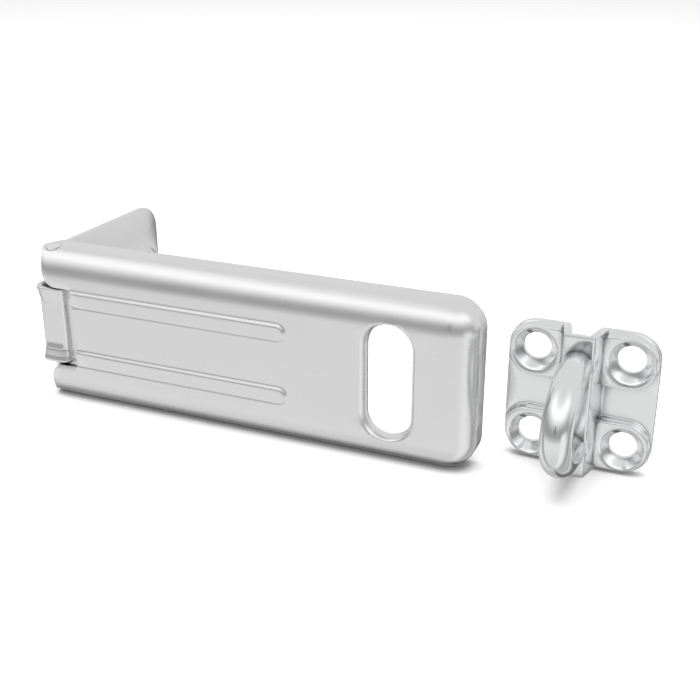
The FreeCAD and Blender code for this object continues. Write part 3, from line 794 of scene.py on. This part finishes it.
def leaf_back(s, y, z):
    """Height of the leaf's back over its lowest plane: the hollows behind the bosses."""
    rise = np.zeros(len(y))
    for hole_y, hole_z in leaf_holes(s):
        away = np.hypot(y - hole_y, z - hole_z)
        outer = (s.boss_radius - HOLLOW_INSET - away) / (s.boss_radius - s.boss_crest)
        inner = (away - s.hole_radius - HOLLOW_LAND) / HOLLOW_SLOPE
        rise = np.maximum(rise, np.clip(np.minimum(outer, inner), 0.0, 1.0) * s.boss_height)
    return rise


def leaf_outline(s):
    """Outline of the flat leaf, from the tongue's lower edge round to its upper edge."""
    start, far, half = AXIS_Y + s.start, LEAF_HIGH.y, LEAF_HIGH.z
    tongue = s.knuckle_height / 2.0
    near, wide = s.near_corner, s.far_corner
    outline = [(AXIS_Y, -tongue), (start, -tongue)]
    outline += arc(start + near, near - half, near, 180, 270, 9)
    outline += arc(far - wide, wide - half, wide, 270, 360, 13)
    outline += arc(far - wide, half - wide, wide, 0, 90, 13)
    outline += arc(start + near, half - near, near, 90, 180, 9)
    return densify(outline + [(start, tongue), (AXIS_Y, tongue)], LEAF_PITCH)


def knuckle_sections(s):
    """Sections of the knuckle up its outside and down its bore: height, half size, squareness."""
    top = s.knuckle_height / 2.0
    bore = PIN_RADIUS + PIN_GAP
    middle = [(z, s.barrel, SQUARE) for z in np.linspace(-s.panel_height, s.panel_height, 25)]
    upper = [(s.panel_height + above, s.barrel + out, SQUARE) for above, out in PANEL_EDGE]
    upper += [(top - below, s.barrel + out, SQUARE) for below, out in KNUCKLE_CRIMPS]
    upper += [(top - below, AXIS_X - step, SQUARE) for below, step in KNUCKLE_RIM]
    inner = [(top - below, AXIS_X - s.sheet * share, power) for below, share, power in KNUCKLE_MOUTH]
    inner += [(top - below, bore + step, power) for below, step, power in KNUCKLE_BORE]
    lower, under = ([(-z, half, power) for z, half, power in reversed(part)] for part in (upper, inner))
    return lower + middle + upper + inner + under


def knuckle_ring(s, height, size, power):
    """Points of one section, with the panel sunk into the front of the barrel."""
    points = []
    for turn in np.linspace(0.0, 2.0 * math.pi, KNUCKLE_SIDES, endpoint=False):
        c, d = math.cos(turn), math.sin(turn)
        reach = size / (abs(c) ** power + abs(d) ** power) ** (1.0 / power)
        sunk = 0.0
        if size == s.barrel and d < 0.0:
            across = smooth_step((s.panel_width - abs(reach * c)) / PANEL_SIDE)
            sunk = s.panel_depth * across * smooth_step((s.panel_height - abs(height)) / PANEL_END)
        points.append((AXIS_X + reach * c, AXIS_Y + reach * d + sunk, height))
    return points


def build_leaf(s):
    """The flat leaf with its bosses, and the knuckle rolled from its tongue."""
    holes, contours = [], []
    for hole_y, hole_z in leaf_holes(s):
        holes.append(circle(hole_y, hole_z, s.hole_radius, 56))
        for step in LEAF_RINGS:
            contours.append((circle(hole_y, hole_z, s.hole_radius + step * MM, 56), True))
    flat, faces = fill_region(leaf_outline(s), holes, contours)
    y, z = flat[:, 0], flat[:, 1]
    front = leaf_front(s, y, z)
    back = np.minimum(leaf_back(s, y, z), front - LEAST_SHEET)
    vertices = [(h, a, b) for side in (front, back) for a, b, h in zip(y, z, side)]
    faces = closed_sheet(faces, len(flat))
    rings = [knuckle_ring(s, *section) for section in knuckle_sections(s)]
    add_grid(vertices, faces, rings + rings[:1], closed=True)
    leaf = mesh_object("rolled_leaf", vertices, faces)
    bevel_edges(leaf, 0.22 * MM, 60, 2)
    return settle(leaf)


# Staple plate

# Signs of the four corners along both ways of the plate
CORNERS = ((-1, -1), (-1, 1), (1, -1), (1, 1))
# Crest's edge to a pad, and the pads' corners at the plate's side and at the ridge
PAD_GAP = 0.4 * MM
PAD_SIDE_CORNER, PAD_RIDGE_CORNER = 5.4 * MM, 1.8 * MM
# Rounding of the crest, of the ridge's foot and of the hollow behind it
CREST_BLEND, FOOT_BLEND, HOLLOW_BLEND = 1.6 * MM, 0.5 * MM, 1.6 * MM
# Screw seat: lower end under the flats, mouth under the pad, fall of its lip, and its reach
SEAT_FLOOR, SEAT_MOUTH, SEAT_FALL, SEAT_REACH = 0.6 * MM, 0.25 * MM, 0.35, 1.2 * MM
# Rounding of the seat's mouth and of its lip
MOUTH_BLEND, LIP_BLEND = 0.35 * MM, 0.25 * MM
# Behind a seat: land round the hole and width of the slope
BACK_LAND, BACK_SLOPE = 1.2 * MM, 1.7 * MM
PLATE_PITCH = 0.8 * MM
# Rings round a hole, pad contours in from the pad's edge, and lines along the ridge, in millimetres
PLATE_RINGS = (0.12, 0.5, 0.9, 1.2, 1.4, 1.55, 1.7, 1.85, 2.0, 2.2, 2.45)
PAD_INSETS = (-0.25, 0.0, 0.15, 0.3, 0.45, 0.6, 0.75, 0.9, 1.15, 1.4, 1.7, 2.0, 2.3)
RIDGE_LINES = (5.05, 4.85, 4.7, 4.55, 4.3, 4.05, 3.8, 3.6, 3.45, 3.3, 3.15, 3.0, 2.85, 2.7, 2.5,
               2.2, 1.8, 1.0)
CREST_LINE = 15.0


def plate_half():
    return (PLATE_HIGH.x - PLATE_LOW.x) / 2.0


def pad_boxes(s):
    """Outline and corner radii of the four pads, about the plate's middle."""
    half = plate_half()
    inner_u = s.ridge_crest / 2.0 + PAD_GAP
    inner_v = half - s.pad_height
    boxes = []
    for su, sv in CORNERS:
        u0, u1 = sorted((su * inner_u, su * half))
        v0, v1 = sorted((sv * inner_v, sv * half))
        radii = []
        for at_u, at_v in ((u0, v0), (u1, v0), (u1, v1), (u0, v1)):
            if abs(at_u) < half:
                radii.append(PAD_RIDGE_CORNER)
            else:
                radii.append(s.corner_radius if abs(at_v) == half else PAD_SIDE_CORNER)
        boxes.append((u0, u1, v0, v1, radii))
    return boxes


def hole_distances(s, u, v):
    """Distance of each point from the middle of each screw hole."""
    return [np.hypot(u - su * s.hole_offset, v - sv * s.hole_offset) for su, sv in CORNERS]


def plate_front(s, u, v):
    """Front of the plate over its middle flats."""
    rise = np.zeros(len(u))
    for u0, u1, v0, v1, radii in pad_boxes(s):
        deep = box_distance(u, v, u0, u1, v0, v1, radii)
        rise = np.maximum(rise, smooth_step(deep / s.pad_draft) * s.pad_rise)
    lean = (s.ridge_foot - s.ridge_crest) / 2.0
    ridge = smooth_min((s.ridge_foot / 2.0 - np.abs(u)) / lean * s.ridge_rise,
                       np.full(len(u), s.ridge_rise), CREST_BLEND)
    rise = smooth_max(rise, ridge, FOOT_BLEND)
    for away in hole_distances(s, u, v):
        cone = -SEAT_FLOOR + (away - s.hole_radius) / (s.sink_radius - s.hole_radius) * (
            s.pad_rise + SEAT_FLOOR - SEAT_MOUTH)
        lip = s.pad_rise - SEAT_MOUTH + (away - s.sink_radius) * SEAT_FALL
        seat = smooth_min(cone, lip, MOUTH_BLEND)
        near = away < s.sink_radius + SEAT_REACH
        rise = np.where(near, smooth_min(rise, seat, LIP_BLEND), rise)
    return rise


def plate_back(s, u, v):
    """Back of the plate over its lowest plane, the same pressing moved in by the sheet."""
    rise = np.zeros(len(u))
    for u0, u1, v0, v1, radii in pad_boxes(s):
        deep = box_distance(u, v, u0, u1, v0, v1, radii) - s.sheet
        rise = np.maximum(rise, smooth_step(deep / s.pad_draft) * s.pad_rise)
    for away in hole_distances(s, u, v):
        seat = (away - s.hole_radius - BACK_LAND) / BACK_SLOPE * s.pad_rise
        rise = np.minimum(rise, np.maximum(seat, 0.0))
    lean = (s.ridge_foot - s.ridge_crest) / 2.0
    ridge = np.minimum((s.ridge_foot / 2.0 - s.sheet - np.abs(u)) / lean * s.ridge_rise,
                       np.full(len(u), s.ridge_rise))
    return smooth_max(rise, ridge, HOLLOW_BLEND)


def pad_contours(s):
    """Closed contours that follow the sloping sides of the pads."""
    contours = []
    for u0, u1, v0, v1, radii in pad_boxes(s):
        for inset in PAD_INSETS:
            step = inset * MM
            shrunk = [max(r - step, 0.1 * MM) for r in radii]
            loop = rounded_box(u0 + step, u1 - step, v0 + step, v1 - step, shrunk, 9)
            contours.append((densify(loop, PLATE_PITCH), True))
    return contours


def build_plate(s):
    """Pressed plate with its pads, screw seats and hollow ridge."""
    half = plate_half()
    outline = densify(rounded_box(-half, half, -half, half, [s.corner_radius] * 4, 17), PLATE_PITCH)
    holes, contours = [], []
    for su, sv in CORNERS:
        cu, cv = su * s.hole_offset, sv * s.hole_offset
        holes.append(circle(cu, cv, s.hole_radius, 64))
        for step in PLATE_RINGS:
            contours.append((circle(cu, cv, s.hole_radius + step * MM, 64), True))
    contours += pad_contours(s)
    for at in RIDGE_LINES:
        for side in (-1, 1):
            contours.append(([(side * at * MM, v) for v in np.linspace(-half, half, 41)], False))
    crest = [(0.0, v) for v in np.linspace(-CREST_LINE * MM, CREST_LINE * MM, 31)]
    flat, faces = fill_region(outline, holes, contours, crest)
    u, v = flat[:, 0], flat[:, 1]
    front_y = PLATE_HIGH.y - s.sheet - plate_front(s, u, v)
    back_y = np.maximum(PLATE_HIGH.y - plate_back(s, u, v), front_y + LEAST_SHEET)
    vertices = [(PLATE_X + a, y, PLATE_Z + b) for side in (front_y, back_y) for a, b, y in zip(u, v, side)]
    plate = mesh_object("pressed_plate", vertices, closed_sheet(faces, len(flat)))
    bevel_edges(plate, 0.35 * MM, 60)
    return settle(plate)


# Staple loop

# How deep the rod's ends are sunk into the ridge
FOOT_SINK = 1.2 * MM
BOW_POINTS = 61


def sweep_tree():
    """Geometry Nodes: sweeps a round section along a curve and closes its ends."""
    tree = bpy.data.node_groups.new("rod_sweep", "GeometryNodeTree")
    kinds = {"Geometry": "Geometry", "Rod Radius": "Float", "Segments": "Int", "Finish": "Material"}
    sockets = {}
    for label, kind in kinds.items():
        socket = tree.interface.new_socket(name=label, in_out="INPUT", socket_type="NodeSocket" + kind)
        sockets[label] = socket.identifier
    tree.interface.new_socket(name="Geometry", in_out="OUTPUT", socket_type="NodeSocketGeometry")
    given = put(tree, "NodeGroupInput").outputs
    section = put(tree, "GeometryNodeCurvePrimitiveCircle", {
        "Radius": given["Rod Radius"], "Resolution": given["Segments"]})
    sweep = put(tree, "GeometryNodeCurveToMesh", {
        "Curve": given["Geometry"], "Profile Curve": section.outputs["Curve"], "Fill Caps": True})
    smooth = put(tree, "GeometryNodeSetShadeSmooth", {"Geometry": sweep.outputs["Mesh"]})
    real = put(tree, "GeometryNodeRealizeInstances", {"Geometry": smooth.outputs["Geometry"]})
    coat = put(tree, "GeometryNodeSetMaterial", {
        "Geometry": real.outputs["Geometry"], "Material": given["Finish"]})
    put(tree, "NodeGroupOutput", {"Geometry": coat.outputs["Geometry"]})
    return tree, sockets


def loop_path(s):
    """Middle line of the rod from the upper foot round the bow to the lower foot."""
    crest_y = PLATE_LOW.y
    reach = crest_y - LOOP_LOW.y - s.rod_radius
    half = s.foot_spacing / 2.0
    points = [(crest_y + FOOT_SINK, half), (crest_y - s.neck / 2.0, half)]
    for a in np.radians(np.linspace(0, 180, BOW_POINTS)):
        points.append((crest_y - s.neck - (reach - s.neck) * math.sin(a), half * math.cos(a)))
    points += [(crest_y - s.neck / 2.0, -half), (crest_y + FOOT_SINK, -half)]
    return [(PLATE_X, y, PLATE_Z + z) for y, z in points]


def build_loop(s, material):
    """Bent rod, swept along its path."""
    curve = bpy.data.curves.new("loop_path", "CURVE")
    curve.dimensions = "3D"
    spline = curve.splines.new("POLY")
    path = loop_path(s)
    spline.points.add(len(path) - 1)
    for point, place in zip(spline.points, path):
        point.co = (*place, 1.0)
    guide = bpy.data.objects.new("loop_guide", curve)
    bpy.context.scene.collection.objects.link(guide)
    tree, sockets = sweep_tree()
    sweep = guide.modifiers.new("rod_sweep", "NODES")
    sweep.node_group = tree
    sweep[sockets["Rod Radius"]] = s.rod_radius
    sweep[sockets["Segments"]] = s.segments
    sweep[sockets["Finish"]] = material
    graph = bpy.context.evaluated_depsgraph_get()
    mesh = bpy.data.meshes.new_from_object(guide.evaluated_get(graph))
    bpy.data.objects.remove(guide)
    loop = bpy.data.objects.new("bent_loop", mesh)
    bpy.context.scene.collection.objects.link(loop)
    return loop


# Stage

# Brightness of the surroundings from straight down (0) over the horizon (0.5) to straight up (1)
WORLD_STOPS = (
    (0.0, 0.74), (0.22, 0.86), (0.35, 0.86), (0.42, 0.55), (0.49, 0.38), (0.60, 0.40), (0.68, 0.66),
    (0.76, 0.98), (0.84, 1.28), (0.90, 1.2), (0.96, 0.9), (1.0, 0.78),
)
# Even tone behind the object, and where it fades in along Y and over the height
BEHIND_TONE = 0.80
BEHIND_DEPTH = (-0.15, 0.25)
BEHIND_HEIGHT = (-0.30, -0.08)
# Lower end of a flag that reaches straight down, and half of the soft change at a flag's ends
DOWN = -2.0
FLAG_FADE = 0.06
# Flags: middle heading, half width and soft edge in degrees, heights of both ends, and tone
WORLD_FLAGS = (
    (174.0, 13.0, 5.0, DOWN, 0.0, 0.14), (206.0, 20.0, 9.0, DOWN, 0.0, 0.55),
    (106.0, 12.0, 7.0, DOWN, 0.0, 0.40), (138.0, 12.0, 7.0, DOWN, -0.44, 0.50),
    (60.0, 14.0, 8.0, DOWN, 0.0, 0.98), (-84.0, 9.0, 6.0, DOWN, 0.0, 0.42),
    (-2.0, 3.0, 3.0, 0.10, 0.40, 0.15),
)
LAMP_PLACE = (0.05, -0.15, 0.9)
LAMP_TARGET = (0.07, 0.0, 0.0)
LAMP_SIZE = (0.9, 0.7)
LAMP_POWER = 9.0
FLOOR_RADIUS, FLOOR_SIDES = 4.0, 96
FLOOR_GAP = 0.2 * MM
PAPER_SCALE = 3.0
PAPER_SHADE = 0.995
SENSOR_WIDTH = 36.0


def step_mask(tree, value, start, full):
    """Zero at the start value, one at the full value, and a soft change between them."""
    feeds = {"Value": value, "From Min": start, "From Max": full}
    return put(tree, "ShaderNodeMapRange", feeds, interpolation_type="SMOOTHSTEP").outputs["Result"]


def flag_mask(tree, heading, middle, half_width, edge):
    """One where a level heading lies within half_width of the middle angle, all in degrees.

    Angles run from the front, -Y, towards the free end, +X.
    """
    turn = math.radians(middle)
    toward = put(tree, "ShaderNodeVectorMath", {
        0: heading, 1: (math.sin(turn), -math.cos(turn), 0.0)}, operation="DOT_PRODUCT")
    start, full = (math.cos(math.radians(angle)) for angle in (half_width + edge, half_width - edge))
    return step_mask(tree, toward.outputs["Value"], start, full)


def world_light():
    """Soft studio surroundings.

    A light lower half, a dim horizon, a strip light in front above it, and darker flags round it.
    The camera itself sees plain white.
    """
    world = bpy.data.worlds.new("studio")
    bpy.context.scene.world = world
    world.use_nodes = True
    tree = world.node_tree
    place = put(tree, "ShaderNodeTexCoord").outputs["Generated"]
    split = put(tree, "ShaderNodeSeparateXYZ", {"Vector": place}).outputs
    ramp = put(tree, "ShaderNodeValToRGB", {"Fac": math_node(tree, "MULTIPLY_ADD", split["Z"], 0.5, 0.5)})
    ramp.color_ramp.interpolation = "EASE"
    elements = ramp.color_ramp.elements
    while len(elements) < len(WORLD_STOPS):
        elements.new(0.5)
    for element, (at, tone) in zip(elements, WORLD_STOPS):
        element.position = at
        element.color = grey(tone)
    level = put(tree, "ShaderNodeVectorMath", {0: place, 1: (1.0, 1.0, 0.0)}, operation="MULTIPLY")
    heading = put(tree, "ShaderNodeVectorMath", {0: level.outputs["Vector"]}, operation="NORMALIZE")
    behind = math_node(tree, "MULTIPLY", step_mask(tree, split["Y"], *BEHIND_DEPTH),
                       step_mask(tree, split["Z"], *BEHIND_HEIGHT))
    shade = colour_mix(tree, behind, ramp.outputs["Color"], grey(BEHIND_TONE))
    for middle, half_width, edge, bottom, top, tone in WORLD_FLAGS:
        flag = flag_mask(tree, heading.outputs["Vector"], middle, half_width, edge)
        low = step_mask(tree, split["Z"], top + FLAG_FADE, top - FLAG_FADE)
        high = step_mask(tree, split["Z"], bottom - FLAG_FADE, bottom + FLAG_FADE)
        band = math_node(tree, "MULTIPLY", low, high)
        shade = colour_mix(tree, math_node(tree, "MULTIPLY", flag, band), shade, grey(tone))
    path = put(tree, "ShaderNodeLightPath")
    seen = colour_mix(tree, path.outputs["Is Camera Ray"], shade, grey(1.0))
    feed(tree, tree.nodes["Background"], {"Color": seen, "Strength": 1.0})


def soft_lamp():
    """Wide lamp above the object, which no reflection shows."""
    light = bpy.data.lights.new("top_box", "AREA")
    light.shape = "RECTANGLE"
    light.size, light.size_y = LAMP_SIZE
    light.energy = LAMP_POWER
    lamp = bpy.data.objects.new("top_box", light)
    bpy.context.scene.collection.objects.link(lamp)
    lamp.location = LAMP_PLACE
    down = Vector(LAMP_TARGET) - Vector(LAMP_PLACE)
    lamp.rotation_euler = down.to_track_quat("-Z", "Y").to_euler()
    lamp.visible_glossy = False


def floor_material(tint):
    """Matt pale paper."""
    material = bpy.data.materials.new("pale_floor")
    material.use_nodes = True
    tree = material.node_tree
    place = put(tree, "ShaderNodeTexCoord")
    paper = put(tree, "ShaderNodeTexNoise", {"Vector": place.outputs["Object"], "Scale": PAPER_SCALE})
    shaded = (*[c * PAPER_SHADE for c in tint], 1.0)
    feed(tree, tree.nodes["Principled BSDF"], {
        "Base Color": colour_mix(tree, paper.outputs["Fac"], shaded, (*tint, 1.0)),
        "Roughness": 0.9,
        "Specular IOR Level": 0.0,
    })
    return material


def build_floor(s):
    """Round floor just under the lowest piece."""
    level = min(STRAP_LOW.z, PLATE_LOW.z) - FLOOR_GAP
    vertices = [(x, y, level) for x, y in circle(AXIS_X, 0.0, FLOOR_RADIUS, FLOOR_SIDES)]
    floor = mesh_object("floor", vertices, [tuple(range(FLOOR_SIDES))], towards=(0.0, 0.0, 1.0))
    finish_piece(floor, floor_material(s.floor_colour))
    floor.visible_glossy = False


def build_camera(s):
    """Camera at its distance, turn and height from the target."""
    target = Vector(s.camera_target)
    a, e = s.camera_azimuth, s.camera_elevation
    back = Vector((math.sin(a) * math.cos(e), -math.cos(a) * math.cos(e), math.sin(e)))
    data = bpy.data.cameras.new("camera")
    data.lens = s.camera_lens
    data.sensor_width = SENSOR_WIDTH
    data.sensor_fit = "HORIZONTAL"
    data.clip_start = 0.001
    data.clip_end = 50.0
    camera = bpy.data.objects.new("camera", data)
    bpy.context.scene.collection.objects.link(camera)
    camera.location = target + back * s.camera_distance
    camera.rotation_euler = (-back).to_track_quat("-Z", "Y").to_euler()
    bpy.context.scene.camera = camera


# Operators, panel and start


class HASP_OT_strap(bpy.types.Operator):
    """Make the drawn strap with its ribs, rolled slot and ears"""

    bl_idname = "hasp.strap"
    bl_label = "Strap"

    def execute(self, context):
        satin, _ = finishes()
        strap = build_strap(context.scene.hasp_strap)
        finish_piece(strap, satin)
        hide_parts("strap")
        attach(strap, "swinging_strap")
        return {"FINISHED"}


class HASP_OT_hinge(bpy.types.Operator):
    """Make the hinge leaf with its rolled knuckle, and finish the pin"""

    bl_idname = "hasp.hinge"
    bl_label = "Hinge"

    def execute(self, context):
        satin, _ = finishes()
        leaf = build_leaf(context.scene.hasp_leaf)
        finish_piece(leaf, satin)
        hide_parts("hinge_leaf")
        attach(leaf, "fixed_side")
        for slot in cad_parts["hinge_pin"].material_slots:
            slot.material = satin
        return {"FINISHED"}


class HASP_OT_staple_plate(bpy.types.Operator):
    """Make the pressed plate with its corner pads, ridge and dished screw seats"""

    bl_idname = "hasp.staple_plate"
    bl_label = "Staple plate"

    def execute(self, context):
        _, bright = finishes()
        plate = build_plate(context.scene.hasp_plate)
        finish_piece(plate, bright)
        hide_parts("staple_plate")
        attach(plate, "fixed_side")
        return {"FINISHED"}


class HASP_OT_staple_loop(bpy.types.Operator):
    """Make the bent rod that comes through the slot"""

    bl_idname = "hasp.staple_loop"
    bl_label = "Staple loop"

    def execute(self, context):
        _, bright = finishes()
        loop = build_loop(context.scene.hasp_loop, bright)
        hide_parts("staple_loop")
        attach(loop, "fixed_side")
        return {"FINISHED"}


class HASP_OT_stage(bpy.types.Operator):
    """Set the surroundings, the pale floor, the camera and the soft lamp"""

    bl_idname = "hasp.stage"
    bl_label = "Stage"

    def execute(self, context):
        settings = context.scene.hasp_stage
        context.scene.view_settings.view_transform = "Standard"
        world_light()
        build_floor(settings)
        build_camera(settings)
        soft_lamp()
        return {"FINISHED"}


class HASP_PT_panel(bpy.types.Panel):
    """Sidebar panel that lists the pieces"""

    bl_idname = "HASP_PT_panel"
    bl_label = "Zinc hasp"
    bl_space_type = "VIEW_3D"
    bl_region_type = "UI"
    bl_category = "Hasp"

    def draw(self, context):
        for operator in OPERATORS:
            self.layout.operator(operator.bl_idname)


OPERATORS = (HASP_OT_strap, HASP_OT_hinge, HASP_OT_staple_plate, HASP_OT_staple_loop, HASP_OT_stage)
SETTINGS = {
    "hasp_strap": HaspStrapSettings,
    "hasp_leaf": HaspLeafSettings,
    "hasp_plate": HaspPlateSettings,
    "hasp_loop": HaspLoopSettings,
    "hasp_finish": HaspFinishSettings,
    "hasp_stage": HaspStageSettings,
}


def register():
    for name, settings in SETTINGS.items():
        bpy.utils.register_class(settings)
        setattr(bpy.types.Scene, name, PointerProperty(type=settings))
    for operator in OPERATORS:
        bpy.utils.register_class(operator)
    bpy.utils.register_class(HASP_PT_panel)


def unregister():
    bpy.utils.unregister_class(HASP_PT_panel)
    for operator in reversed(OPERATORS):
        bpy.utils.unregister_class(operator)
    for name, settings in SETTINGS.items():
        delattr(bpy.types.Scene, name)
        bpy.utils.unregister_class(settings)


def main():
    register()
    bpy.ops.hasp.strap()
    bpy.ops.hasp.hinge()
    bpy.ops.hasp.staple_plate()
    bpy.ops.hasp.staple_loop()
    bpy.ops.hasp.stage()


if __name__ == "__main__":
    main()
